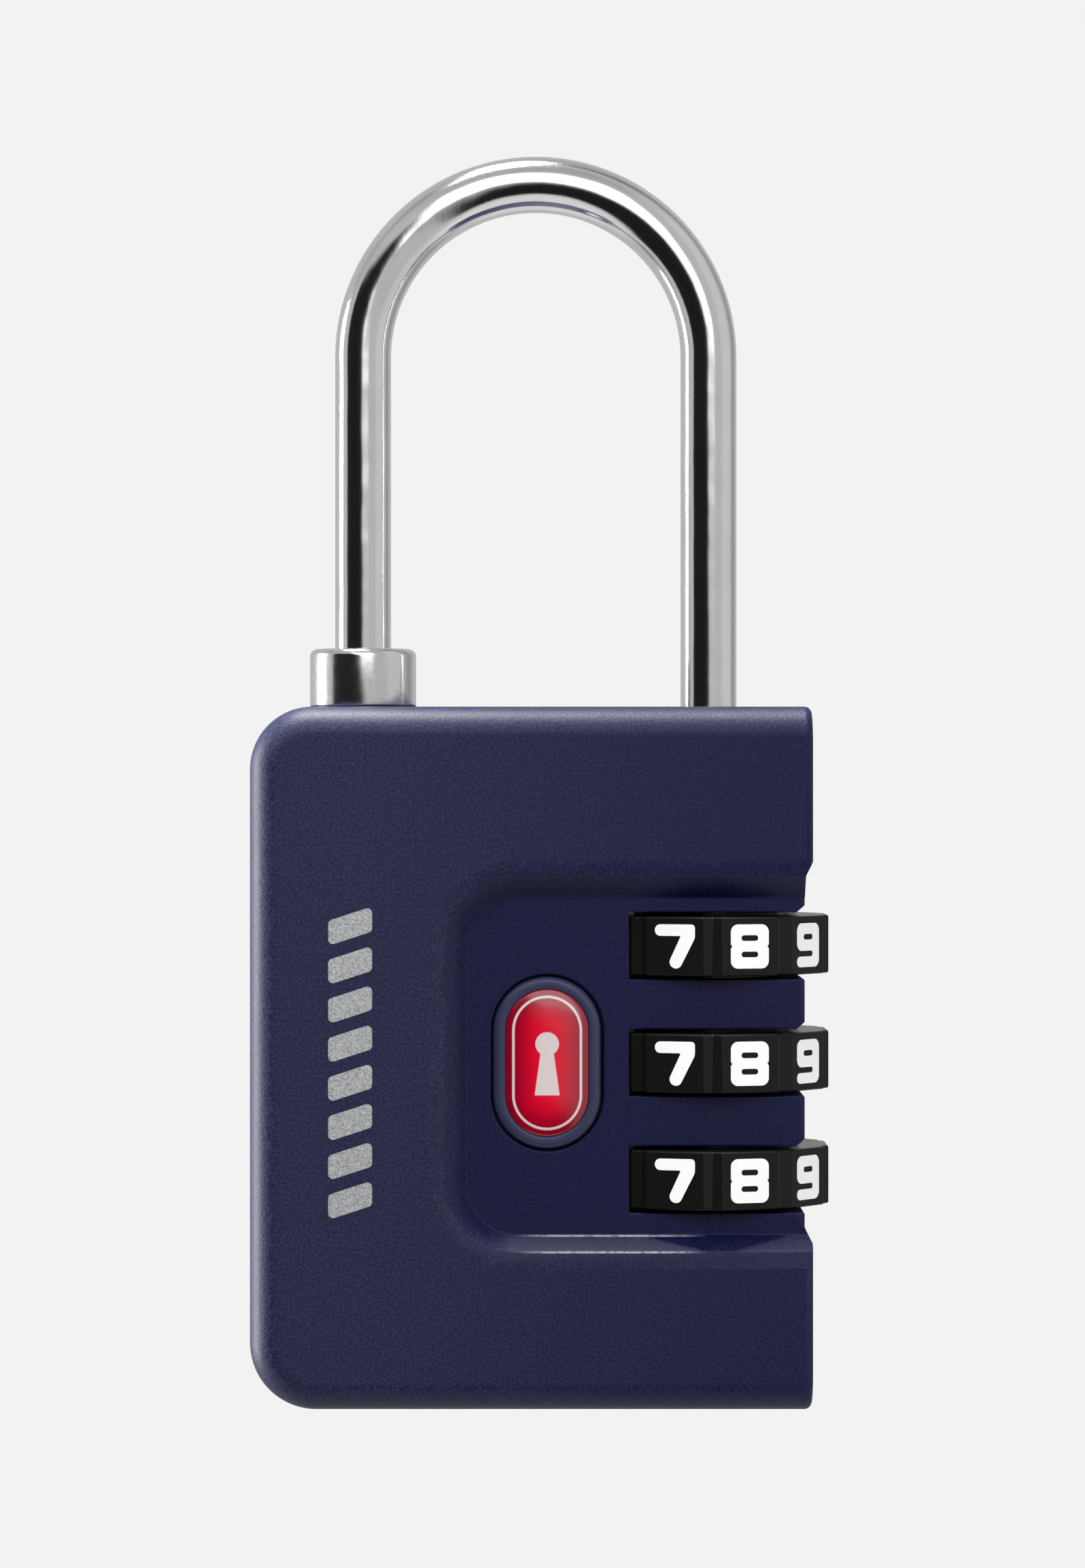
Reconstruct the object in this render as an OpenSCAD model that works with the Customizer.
// Combination padlock for luggage: three ten-sided dials on the long leg of a
// turning shackle, and a keyed service core with a gated collar on the short leg.
// Frame: X runs to the dial side, Y to the back, Z up. The origin is the centre
// of the case's flat underside. All sizes are in millimetres.

/* [Case] */
// Width of the case, plain side to dial side
body_w = 29.6; // [24.6:0.1:40]
// Height of the case
body_h = 37; // [32:0.1:50]
// Thickness of the case, front to back
body_t = 13; // [10.8:0.1:18]
// Corner radius at the top of the plain side, seen from the front
corner_top_r = 3.3; // [2:0.1:5]
// Corner radius at the bottom of the plain side, seen from the front
corner_bottom_r = 3.5; // [2:0.1:5]
// Rounding of the front and back edges
edge_r = 1.6; // [0.6:0.1:1.9]
// Small rounding of the upright edges on the dial side
side_edge_r = 0.4; // [0.2:0.05:0.8]

/* [Recess round the dials] */
// Depth of the recess floor below the front face
recess_depth = 1.3; // [0.8:0.05:2]
// Width of the shallow shelf round the recess
shelf_w = 0.9; // [0.4:0.05:1.5]
// Drop of the shelf across its width
shelf_drop = 0.2; // [0.1:0.05:0.4]
// Width of the steep slope between the shelf and the floor
slope_w = 1.15; // [0.6:0.05:2]
// Corner radius of the recess floor
floor_corner_r = 2.6; // [1:0.1:4]
// How far the dial side steps in along the recess
side_step = 0.38; // [0.2:0.02:0.8]
// Floor left above the top slot and below the lowest
floor_margin = 0.8; // [0.4:0.1:2]
// Floor left between the recess slope and the badge
badge_margin = 1.3; // [0.6:0.1:3]

/* [Badge] */
// Width of the badge's pocket
badge_w = 5.9; // [3:0.1:7]
// Height of the badge's pocket
badge_h = 9.3; // [6:0.1:14]
// Depth of the badge's pocket
badge_pocket = 0.9; // [0.5:0.05:1.2]
// Width of the badge frame's rim
badge_rim = 0.75; // [0.4:0.05:1.2]
// Floor between the badge's pocket and the dial slots
badge_gap = 1.4; // [0.8:0.1:3]

/* [Shackle] */
// Diameter of the shackle's bar
bar_d = 3; // [2.4:0.1:3.6]
// Height of the closed shackle above the case
shackle_rise = 29.6; // [24:0.1:45]
// How far the open shackle rises
lift = 6; // [5:0.1:7.2]
// Axis of the long leg, in from the dial side of the case
long_leg_inset = 5.28; // [4.6:0.02:7]
// Axis of the short leg, in from the plain side of the case
short_leg_inset = 5.78; // [4.8:0.02:8]

/* [Dials] */
// Size of a dial across its flats
dial_flats = 12.7; // [11.5:0.02:15.3]
// Width of the flat that is cut on each corner of a dial
dial_corner_w = 0.97; // [0.4:0.01:1.4]
// Thickness of a dial
dial_h = 3.1; // [2.6:0.1:4]
// Wall of the case left between two dial slots
fin_t = 2.65; // [2.2:0.05:4]
// Middle of the lowest dial above the underside
dial_low_z = 12.1; // [11:0.1:16]

/* [Clutch sleeves] */
// Wall of a sleeve
sleeve_wall = 0.65; // [0.5:0.05:0.8]
// Thickness of the inner flange that stops a lug
flange_t = 1; // [0.6:0.05:1.2]
// How far a lug stands out from the leg
lug_reach = 0.95; // [0.8:0.05:1.2]
// Height of a lug
lug_h = 1; // [0.6:0.05:1.2]
// Width of a lug
lug_w = 1.4; // [1:0.1:2]
// Travel of the sleeves when the code is changed
code_travel = 0.9; // [0.7:0.05:1]

/* [Service core] */
// Outer diameter of the collar round the short leg
collar_d = 5.7; // [5.2:0.1:7]
// Height of the collar above the case
collar_h = 3.15; // [2.6:0.05:4.5]
// Diameter of the key plug
plug_d = 4.8; // [4.4:0.1:5.2]
// Length of the key plug
plug_l = 9.1; // [8.5:0.1:11]
// Wall of the sleeve that the key plug turns in
housing_wall = 0.65; // [0.5:0.05:1]

/* [Clearances] */
// Radial clearance of a running fit
run_c = 0.05; // [0.02:0.01:0.1]
// Clearance between pieces that pass each other
pass_c = 0.1; // [0.06:0.01:0.2]
// Gap above and below each dial
slot_gap = 0.2; // [0.1:0.05:0.35]
// Gap round the corners of a dial
dial_round_gap = 0.22; // [0.15:0.01:0.4]

/* [Hidden] */
$fn = 64;

// The dials, counted from the underside up
DIALS = 3;
LOWER = 0;
MIDDLE = 1;
UPPER = 2;
// Facets on a dial, one for each digit
SIDES = 10;
// A small overrun that keeps a cut clear of the face it opens
CUT = 1;

navy = [0.13, 0.14, 0.24];
black = [0.07, 0.07, 0.08];
steel = [0.75, 0.76, 0.78];
chrome = [0.86, 0.87, 0.89];
brass = [0.78, 0.66, 0.38];
red = [0.75, 0.03, 0.12];

// ---- Case ----
right_x = body_w / 2;
left_x = -body_w / 2;
front_y = -body_t / 2;
long_x = right_x - long_leg_inset;
short_x = left_x + short_leg_inset;
leg_spacing = long_x - short_x;
bar_r = bar_d / 2;

// ---- Dials ----
apothem = dial_flats / 2;
facet_w = 2 * apothem * tan(180 / SIDES) - dial_corner_w / cos(180 / SIDES);
dial_r = sqrt(pow(apothem, 2) + pow(facet_w / 2, 2));
pocket_r = dial_r + dial_round_gap;
slot_h = dial_h + 2 * slot_gap;
pitch = slot_h + fin_t;
function dial_z(i) = dial_low_z + i * pitch;

// ---- Recess ----
floor_y = front_y + recess_depth;
slot_edge_x = long_x - sqrt(max(pow(pocket_r, 2) - pow(floor_y, 2), 0));
badge_x = slot_edge_x - badge_gap - badge_w / 2;
badge_z = dial_z(MIDDLE);
floor_left_x = badge_x - badge_w / 2 - badge_margin;
floor_low_z = dial_z(LOWER) - slot_h / 2 - floor_margin;
floor_high_z = dial_z(UPPER) + slot_h / 2 + floor_margin;
shelf_y = front_y + shelf_drop;

// ---- Shackle and sleeves ----
arch_r = leg_spacing / 2;
arch_z = body_h + shackle_rise - bar_r - arch_r;
lug_r = bar_r + lug_reach;
sleeve_in_r = lug_r + pass_c;
sleeve_out_r = sleeve_in_r + sleeve_wall;
sleeve_bore_r = sleeve_out_r + run_c;
stack_gap = 0.1;
sleeve_h = pitch - stack_gap;
flange_rise = 0.3;
lug_gap = code_travel + 0.2;
function flange_z(i) = dial_z(i) + flange_rise;
function lug_top_z(i) = flange_z(i) - lug_gap;
spline_depth = 0.6;
spline_w = 0.9;
spline_h = code_travel - 0.2;
spline_r = sleeve_out_r + spline_depth;
dial_bore_r = sleeve_out_r + run_c;
dial_hollow_r = spline_r + pass_c;
spline_top_z = dial_h / 2 - 0.25;
notch_floor_z = spline_top_z - spline_h - 0.1;

// ---- Springs under the long leg ----
sleeve_foot_z = dial_z(LOWER) - sleeve_h / 2;
clutch_wire = 0.35;
clutch_seat_z = sleeve_foot_z - code_travel - 2;
clutch_coil_r = sleeve_out_r - clutch_wire / 2 - 0.06;
cap_r = sleeve_in_r - 0.25;
cap_t = 0.8;
well_r = cap_r + pass_c;
well_floor_z = 1.3;
leg_foot_z = clutch_seat_z - 1.2;
lift_wire = 0.35;
lift_coil_r = cap_r - lift_wire / 2 - 0.25;

// ---- Stop above the top sleeve ----
stop_z = lug_top_z(UPPER) + lift + 0.05;
stop_t = 0.8;
leg_bore_r = bar_r + 0.06;
sleeve_head_z = dial_z(UPPER) + sleeve_h / 2;

// ---- Service core ----
collar_r = collar_d / 2;
collar_foot_z = body_h + 0.05;
collar_top_z = body_h + collar_h;
collar_bevel = 0.35;
leg_hole_r = bar_r + pass_c;
leg_toe_z = body_h + 0.4;
leg_hole_z = leg_toe_z - 0.15;
toe_r = bar_r - 0.18;
leg_shoulder_z = collar_top_z - 0.05;
stem_r = 2;
stem_foot_z = body_h - 4.9;
clip_z = body_h - 2.5;
clip_t = 0.5;
clip_r = stem_r + 0.75;
clip_groove_r = stem_r - 0.3;
stop_lug_r = stem_r + 0.7;
stop_lug_h = 0.7;
stop_lug_w = 0.9;
core_turn = 90;
shaft_r = 1.1;
shaft_bore_r = shaft_r + 0.15;
tongue_h = 0.7;
tongue_w = 0.8;
plug_r = plug_d / 2;
plug_foot_z = 0.3;
plug_top_z = plug_foot_z + plug_l;
housing_in_r = plug_r + run_c;
housing_r = housing_in_r + housing_wall;
housing_top_z = plug_top_z + 0.3;
keyway_w = 0.8;
keyway_l = 3.4;
wafer_t = 0.45;
wafer_w = 2.1;
wafer_play = 0.05;
wafer_pitch = 1.6;
wafer_first_z = 2;
wafer_codes = [0.2, -0.1, 0.1, -0.2];
wafer_spring_wire = 0.12;
wafer_spring_r = 0.26;

// ---- Detent leaves ----
leaf_t = 0.2;
leaf_h = 2;
leaf_gap = 0.01;
leaf_x = long_x - apothem - leaf_gap;
leaf_half = -floor_y - 1.4;
leaf_grip = 0.6;
leaf_flex = dial_r - apothem + 0.35;

// ---- Pins that join the shells ----
pin_r = 0.8;
pin_half = 3.2;
pin_inset_z = 3.2;
pin_wall = 0.6;
pin_left_x = left_x + 1.75;
pin_middle_x = short_x + housing_r + pin_r + pin_wall;
pin_right_x = (long_x + well_r + right_x) / 2;
PIN_PLACES = [
    [pin_left_x, housing_top_z + pin_r + pin_wall],
    [pin_left_x, stem_foot_z - pass_c - pin_r - pin_wall],
    [pin_middle_x, pin_inset_z],
    [pin_middle_x, body_h - pin_inset_z],
    [pin_right_x, pin_inset_z],
    [pin_right_x, body_h - pin_inset_z]
];

// Points of an arc, for outlines
function arc(cx, cy, r, from, to, steps) =
    [for (i = [0:steps]) let (a = from + (to - from) * i / steps)
        [cx + r * cos(a), cy + r * sin(a)]];

// Outline of a rectangle with round corners, centred
function round_rect(w, h, r, steps = 6) = concat(
    arc(w / 2 - r, h / 2 - r, r, 0, 90, steps),
    arc(-w / 2 + r, h / 2 - r, r, 90, 180, steps),
    arc(-w / 2 + r, -h / 2 + r, r, 180, 270, steps),
    arc(w / 2 - r, -h / 2 + r, r, 270, 360, steps));

// A round bar of one radius standing on the long leg's axis
module long_bar(r, z0, z1) {
    translate([long_x, 0, z0]) cylinder(r = r, h = z1 - z0);
}

// A round bar of one radius standing on the short leg's axis
module short_bar(r, z0, z1) {
    translate([short_x, 0, z0]) cylinder(r = r, h = z1 - z0);
}

// A round wire wound into a spring, standing on the XY plane
module coil(r, wire, length, turns, sides = 6, steps = 14) {
    rings = turns * steps;
    rise = length - wire;
    points = [
        for (i = [0:rings]) let (a = 360 * i / steps, z = wire / 2 + rise * i / rings)
        for (j = [0:sides - 1]) let (b = 360 * j / sides, q = r + wire / 2 * cos(b))
        [q * cos(a), q * sin(a), z + wire / 2 * sin(b)]
    ];
    faces = concat(
        [[for (j = [0:sides - 1]) j]],
        [[for (j = [sides - 1:-1:0]) rings * sides + j]],
        [for (i = [0:rings - 1]) for (j = [0:sides - 1]) let (k = (j + 1) % sides)
            [i * sides + j, (i + 1) * sides + j, (i + 1) * sides + k]],
        [for (i = [0:rings - 1]) for (j = [0:sides - 1]) let (k = (j + 1) % sides)
            [i * sides + j, (i + 1) * sides + k, i * sides + k]]);
    polyhedron(points, faces);
}

// ---- Case shells ----

// A round corner of the case: a disc with rounded rims, lying front to back
module corner_disc(x, z, r) {
    e = min(edge_r, r);
    profile = concat([[0, front_y]], arc(r - e, front_y + e, e, -90, 0, 6),
        arc(r - e, -front_y - e, e, 0, 90, 6), [[0, -front_y]]);
    translate([x, 0, z]) rotate([90, 0, 0]) rotate_extrude($fn = 40) polygon(profile);
}

// A thin slice of the case at one distance from the dial side
module side_slice(x, inset) {
    translate([x - 0.01, 0, body_h / 2]) rotate([90, 0, 90])
        linear_extrude(0.01) polygon(round_rect(body_t - 2 * inset, body_h - 2 * inset, edge_r));
}

module case_block() {
    hull() {
        corner_disc(left_x + corner_top_r, body_h - corner_top_r, corner_top_r);
        corner_disc(left_x + corner_bottom_r, corner_bottom_r, corner_bottom_r);
        for (a = [0, 30, 60, 90])
            side_slice(right_x - side_edge_r * (1 - sin(a)), side_edge_r * (1 - cos(a)));
    }
}

// One level of the recess: a plate with round corners that runs out at the dial side
module recess_plate(y, grow) {
    r = floor_corner_r + grow;
    for (z = [floor_low_z - grow + r, floor_high_z + grow - r])
        translate([floor_left_x - grow + r, y, z])
            rotate([90, 0, 0]) cylinder(r = r, h = 0.01, $fn = 48);
    translate([right_x, y - 0.01, floor_low_z - grow])
        cube([CUT, 0.01, floor_high_z - floor_low_z + 2 * grow]);
}

module recess() {
    overrun = 0.4;
    hull() {
        recess_plate(floor_y, 0);
        recess_plate(shelf_y, slope_w);
    }
    hull() {
        recess_plate(shelf_y + 0.02, slope_w);
        recess_plate(front_y - overrun, slope_w + shelf_w + overrun * shelf_w / shelf_drop);
    }
}

// The step in the dial side along the recess, with slanted ends
module side_relief() {
    slant = 2 * side_step;
    outer = right_x + CUT;
    x = right_x - side_step;
    run = slant * (outer - x) / side_step;
    translate([0, body_t, 0]) rotate([90, 0, 0]) linear_extrude(2 * body_t)
        polygon([[x, floor_low_z], [outer, floor_low_z - run],
            [outer, floor_high_z + slope_w + run], [x, floor_high_z + slope_w]]);
}

// A stadium standing upright, front to back
module stadium(w, h, y0, y1) {
    hull() for (z = [-1, 1])
        translate([badge_x, y1, badge_z + z * (h - w) / 2])
            rotate([90, 0, 0]) cylinder(r = w / 2, h = y1 - y0, $fn = 48);
}

// Round pockets for the dials, open across their right half
module dial_slots() {
    for (i = [0:DIALS - 1]) {
        long_bar(pocket_r, dial_z(i) - slot_h / 2, dial_z(i) + slot_h / 2);
        translate([long_x, floor_y - CUT, dial_z(i) - slot_h / 2])
            cube([right_x, 2 * (CUT - floor_y), slot_h]);
    }
}

module leaf_slots() {
    back = leaf_x - leaf_t;
    deep = back - leaf_flex;
    front = long_x - apothem + 0.9;
    half = leaf_half + 0.05;
    for (i = [0:DIALS - 1]) {
        translate([deep, -half + leaf_grip, dial_z(i) - leaf_h / 2 - pass_c])
            cube([front - deep, 2 * (half - leaf_grip), leaf_h + 2 * pass_c]);
        translate([back, -half, dial_z(i) - leaf_h / 2 - pass_c])
            cube([front - back, 2 * half, leaf_h + 2 * pass_c]);
    }
}

module long_leg_bores() {
    long_bar(well_r, well_floor_z, clutch_seat_z + CUT);
    long_bar(sleeve_bore_r, clutch_seat_z, sleeve_head_z + pass_c);
    long_bar(sleeve_in_r, sleeve_head_z, stop_z);
    long_bar(sleeve_bore_r, stop_z, stop_z + stop_t);
    long_bar(leg_bore_r, stop_z + stop_t, body_h + CUT);
}

// The pocket for the lug that limits the core to a quarter turn
module turn_pocket() {
    slack = 3;
    half = asin(stop_lug_w / 2 / stem_r);
    z = stem_foot_z - pass_c;
    translate([short_x, 0, z]) rotate([0, 0, -half - slack])
        rotate_extrude(angle = core_turn + 2 * (half + slack))
            square([stop_lug_r + pass_c, stop_lug_h + 2 * pass_c]);
}

module core_bores() {
    short_bar(housing_r, -CUT, housing_top_z);
    short_bar(shaft_bore_r, housing_top_z - CUT, stem_foot_z);
    short_bar(stem_r + run_c, stem_foot_z - pass_c, body_h + CUT);
    short_bar(clip_r + pass_c, clip_z - 0.05, clip_z + clip_t + 0.05);
    turn_pocket();
}

module shell_pin_set(grow = 0) {
    for (place = PIN_PLACES) translate([place[0], pin_half + grow, place[1]])
        rotate([90, 0, 0]) cylinder(r = pin_r, h = 2 * (pin_half + grow), $fn = 32);
}

// The space that the casting leaves empty between the core and the dials
module core_out() {
    wall = 0.9;
    x0 = short_x + housing_r + wall;
    x1 = leaf_x - leaf_t - leaf_flex - wall;
    z0 = 2 * pin_inset_z + wall;
    z1 = body_h - 2 * pin_inset_z - wall;
    y = -floor_y - badge_pocket - wall;
    if (x1 - x0 > wall)
        translate([x0, -y, z0]) cube([x1 - x0, 2 * y, z1 - z0]);
}

module shell(side) {
    difference() {
        intersection() {
            case_block();
            translate([-body_w, side < 0 ? -body_t : 0, -CUT])
                cube([2 * body_w, body_t, body_h + 2 * CUT]);
        }
        mirror([0, side < 0 ? 0 : 1, 0]) recess();
        side_relief();
        dial_slots();
        leaf_slots();
        long_leg_bores();
        core_bores();
        shell_pin_set();
        core_out();
        if (side < 0) stadium(badge_w, badge_h, front_y, floor_y + badge_pocket);
    }
}

module front_shell() { color(navy) shell(-1); }

module rear_shell() { color(navy) shell(1); }

module shell_pins() { color(steel) shell_pin_set(-0.05); }

// ---- Badge ----

module badge_frame() {
    gap = 0.12;
    lip = 0.25;
    deep = floor_y + badge_pocket;
    color(navy) difference() {
        union() {
            stadium(badge_w - 2 * gap, badge_h - 2 * gap, floor_y + lip, deep);
            stadium(badge_w - 2 * (gap + lip), badge_h - 2 * (gap + lip), floor_y - 0.1, deep);
        }
        stadium(badge_w - 2 * badge_rim, badge_h - 2 * badge_rim, floor_y - CUT, deep - 0.3);
    }
}

module badge_dome() {
    fit = 0.02;
    w = badge_w - 2 * badge_rim - 2 * fit;
    h = badge_h - 2 * badge_rim - 2 * fit;
    back = floor_y + badge_pocket - 0.3;
    color(red) hull() {
        stadium(w, h, floor_y + 0.05, back);
        stadium(w - 0.5, h - 0.5, floor_y - 0.12, back);
        stadium(w - 1.6, h - 1.6, floor_y - 0.24, back);
    }
}

// ---- Fixed inner pieces ----

module plug_housing() {
    groove_w = wafer_w + 0.2;
    groove_r = housing_in_r + 0.35;
    color(brass) difference() {
        short_bar(housing_r, 0, housing_top_z);
        short_bar(housing_in_r, -CUT, housing_top_z + CUT);
        intersection() {
            short_bar(groove_r, 1, plug_top_z - 1.6);
            translate([short_x - plug_d, -groove_w / 2, 0])
                cube([2 * plug_d, groove_w, plug_top_z]);
        }
    }
}

module stop_washer() {
    color(steel) difference() {
        long_bar(sleeve_bore_r - 0.02, stop_z + 0.02, stop_z + stop_t - 0.02);
        long_bar(leg_bore_r, stop_z - CUT, stop_z + stop_t + CUT);
    }
}

// A flat leaf whose middle lies on one facet of a dial
module detent_leaf(i) {
    color(steel) translate([leaf_x - leaf_t + 0.005, -leaf_half, dial_z(i) - leaf_h / 2])
        cube([leaf_t - 0.005, 2 * leaf_half, leaf_h]);
}

module detent_spring_upper() { detent_leaf(UPPER); }

module detent_spring_middle() { detent_leaf(MIDDLE); }

module detent_spring_lower() { detent_leaf(LOWER); }

module lift_spring() {
    gap = 0.02;
    color(steel) translate([long_x, 0, well_floor_z + gap])
        coil(lift_coil_r, lift_wire, leg_foot_z - cap_t - well_floor_z - 2 * gap, 5);
}

module clutch_spring() {
    gap = 0.02;
    color(steel) translate([long_x, 0, clutch_seat_z + gap])
        coil(clutch_coil_r, clutch_wire, sleeve_foot_z - clutch_seat_z - 2 * gap, 3);
}

// ---- Dials and sleeves ----

// The ten-sided outline of a dial, with a flat on each corner
dial_outline = [
    for (k = [0:SIDES - 1]) let (a = 360 / SIDES * k)
    for (s = [-1, 1]) let (t = s * facet_w / 2)
    [apothem * cos(a) - t * sin(a), apothem * sin(a) + t * cos(a)]
];

module dial(i) {
    color(black) translate([long_x, 0, dial_z(i)]) difference() {
        translate([0, 0, -dial_h / 2]) linear_extrude(dial_h) polygon(dial_outline);
        translate([0, 0, -dial_h]) cylinder(r = dial_bore_r, h = 2 * dial_h);
        translate([0, 0, notch_floor_z - dial_h]) cylinder(r = dial_hollow_r, h = dial_h);
        for (k = [0:SIDES - 1]) rotate([0, 0, 360 / SIDES * k])
            translate([0, -spline_w / 2 - run_c, notch_floor_z - CUT])
                cube([spline_r + run_c, spline_w + 2 * run_c, dial_h]);
    }
}

module dial_upper() { dial(UPPER); }

module dial_middle() { dial(MIDDLE); }

module dial_lower() { dial(LOWER); }

module clutch_sleeve(i) {
    slot_w = lug_w + 2 * pass_c;
    color(brass) translate([long_x, 0, dial_z(i)]) difference() {
        union() {
            translate([0, 0, -sleeve_h / 2]) cylinder(r = sleeve_out_r, h = sleeve_h);
            for (k = [0:SIDES - 1]) rotate([0, 0, 360 / SIDES * k])
                translate([sleeve_out_r - sleeve_wall / 2, -spline_w / 2, spline_top_z - spline_h])
                    cube([spline_depth + sleeve_wall / 2, spline_w, spline_h]);
        }
        translate([0, 0, -pitch]) cylinder(r = sleeve_in_r, h = pitch + flange_rise);
        translate([0, 0, flange_rise + flange_t]) cylinder(r = sleeve_in_r, h = pitch);
        translate([0, 0, -pitch]) cylinder(r = bar_r + pass_c, h = 2 * pitch);
        translate([0, -slot_w / 2, 0]) cube([lug_r + 0.02, slot_w, pitch / 2]);
    }
}

module clutch_sleeve_upper() { clutch_sleeve(UPPER); }

module clutch_sleeve_middle() { clutch_sleeve(MIDDLE); }

module clutch_sleeve_lower() { clutch_sleeve(LOWER); }

// ---- Shackle ----

module spring_cap() {
    color(steel) long_bar(cap_r, leg_foot_z - cap_t, leg_foot_z - 0.02);
}

module shackle() {
    bevel = 0.3;
    color(chrome) union() {
        long_bar(bar_r, leg_foot_z, arch_z);
        translate([short_x, 0, leg_toe_z]) cylinder(r1 = toe_r - bevel, r2 = toe_r, h = bevel);
        short_bar(toe_r, leg_toe_z + bevel, leg_shoulder_z);
        short_bar(bar_r, leg_shoulder_z, arch_z);
        translate([(long_x + short_x) / 2, 0, arch_z]) rotate([90, 0, 0])
            rotate_extrude(angle = 180) translate([arch_r, 0]) circle(r = bar_r, $fn = 48);
        for (i = [0:DIALS - 1]) intersection() {
            long_bar(lug_r, lug_top_z(i) - lug_h, lug_top_z(i));
            translate([long_x + bar_r / 2, -lug_w / 2, lug_top_z(i) - lug_h])
                cube([lug_r, lug_w, lug_h]);
        }
    }
}

// ---- Service core ----

// The way out of the collar: the path of the short leg as the shackle turns
module gate() {
    reach = 2 * asin(collar_d / leg_spacing / 2) + 4;
    translate([long_x, 0, leg_hole_z]) rotate([0, 0, 180 - reach])
        rotate_extrude(angle = reach, $fn = 180)
            translate([leg_spacing - leg_hole_r, 0]) square([2 * leg_hole_r, 2 * collar_h]);
}

module gate_collar() {
    color(chrome) difference() {
        union() {
            short_bar(collar_r, collar_foot_z, collar_top_z - collar_bevel);
            translate([short_x, 0, collar_top_z - collar_bevel])
                cylinder(r1 = collar_r, r2 = collar_r - collar_bevel, h = collar_bevel);
            short_bar(stem_r, stem_foot_z, collar_foot_z + 0.2);
            intersection() {
                short_bar(stop_lug_r, stem_foot_z, stem_foot_z + stop_lug_h);
                translate([short_x, -stop_lug_w / 2, stem_foot_z])
                    cube([2 * stem_r, stop_lug_w, stop_lug_h]);
            }
        }
        short_bar(leg_hole_r, leg_hole_z, collar_top_z + CUT);
        gate();
        difference() {
            short_bar(clip_r, clip_z, clip_z + clip_t);
            short_bar(clip_groove_r, clip_z - CUT, clip_z + clip_t + CUT);
        }
        translate([short_x - stem_r - CUT, -tongue_w / 2 - 0.04, stem_foot_z - CUT])
            cube([2 * (stem_r + CUT), tongue_w + 0.08, CUT + tongue_h + 0.05]);
    }
}

module core_clip() {
    fit = 0.02;
    mouth = 2.4;
    color(steel) difference() {
        short_bar(clip_r - 0.05, clip_z + fit, clip_z + clip_t - fit);
        short_bar(clip_groove_r + fit, clip_z - CUT, clip_z + clip_t + CUT);
        translate([short_x - clip_r - CUT, -mouth / 2, clip_z - CUT])
            cube([clip_r + CUT, mouth, clip_t + 2 * CUT]);
    }
}

module core_shaft() {
    reach = shaft_r - 0.1;
    foot = plug_top_z;
    head = stem_foot_z - 0.05;
    color(steel) union() {
        short_bar(shaft_r, foot + 0.05, head);
        translate([short_x - reach, -tongue_w / 2, foot - tongue_h])
            cube([2 * reach, tongue_w, head - foot + 2 * tongue_h]);
    }
}

function wafer_z(k) = wafer_first_z + k * wafer_pitch;

module key_plug() {
    slot_h = wafer_t + 2 * wafer_play;
    keyway_top = wafer_z(len(wafer_codes) - 1) + wafer_t + 0.6;
    side_w = 0.85;
    color(brass) difference() {
        short_bar(plug_r, plug_foot_z, plug_top_z);
        translate([short_x - keyway_l / 2, -keyway_w / 2, 0])
            cube([keyway_l, keyway_w, keyway_top]);
        translate([short_x - plug_d, -tongue_w / 2 - 0.04, plug_top_z - tongue_h - 0.05])
            cube([2 * plug_d, tongue_w + 0.08, tongue_h + CUT]);
        for (k = [0:len(wafer_codes) - 1]) translate([short_x, 0, wafer_z(k)]) {
            translate([-plug_d, -wafer_w / 2 - wafer_play, -wafer_play])
                cube([2 * plug_d, wafer_w + 2 * wafer_play, slot_h]);
            translate([-1.15, wafer_w / 2, -0.15]) cube([2.35, side_w, 0.75]);
        }
    }
}

module wafers() {
    color(steel) for (k = [0:len(wafer_codes) - 1]) difference() {
        intersection() {
            short_bar(plug_r - 0.03, wafer_z(k), wafer_z(k) + wafer_t);
            union() {
                translate([short_x - plug_d, -wafer_w / 2, 0]) cube([2 * plug_d, wafer_w, plug_top_z]);
                translate([short_x + 0.65, 0, 0]) cube([0.45, wafer_w / 2 + 0.7, plug_top_z]);
            }
        }
        translate([short_x - 1.3 + wafer_codes[k], -keyway_w / 2 - 0.1, 0])
            cube([2.5, keyway_w + 0.2, plug_top_z]);
    }
}

module wafer_springs() {
    length = 1.7;
    color(steel) for (k = [0:len(wafer_codes) - 1])
        translate([short_x + 0.63 - length, wafer_w / 2 + 0.42, wafer_z(k) + wafer_t / 2])
            rotate([0, 90, 0])
                coil(wafer_spring_r, wafer_spring_wire, length, 4, sides = 4, steps = 8);
}

front_shell();
rear_shell();
shell_pins();
badge_frame();
badge_dome();
plug_housing();
stop_washer();
detent_spring_upper();
detent_spring_middle();
detent_spring_lower();
lift_spring();
clutch_spring();
dial_upper();
dial_middle();
dial_lower();
clutch_sleeve_upper();
clutch_sleeve_middle();
clutch_sleeve_lower();
spring_cap();
shackle();
gate_collar();
core_clip();
core_shaft();
key_plug();
wafers();
wafer_springs();
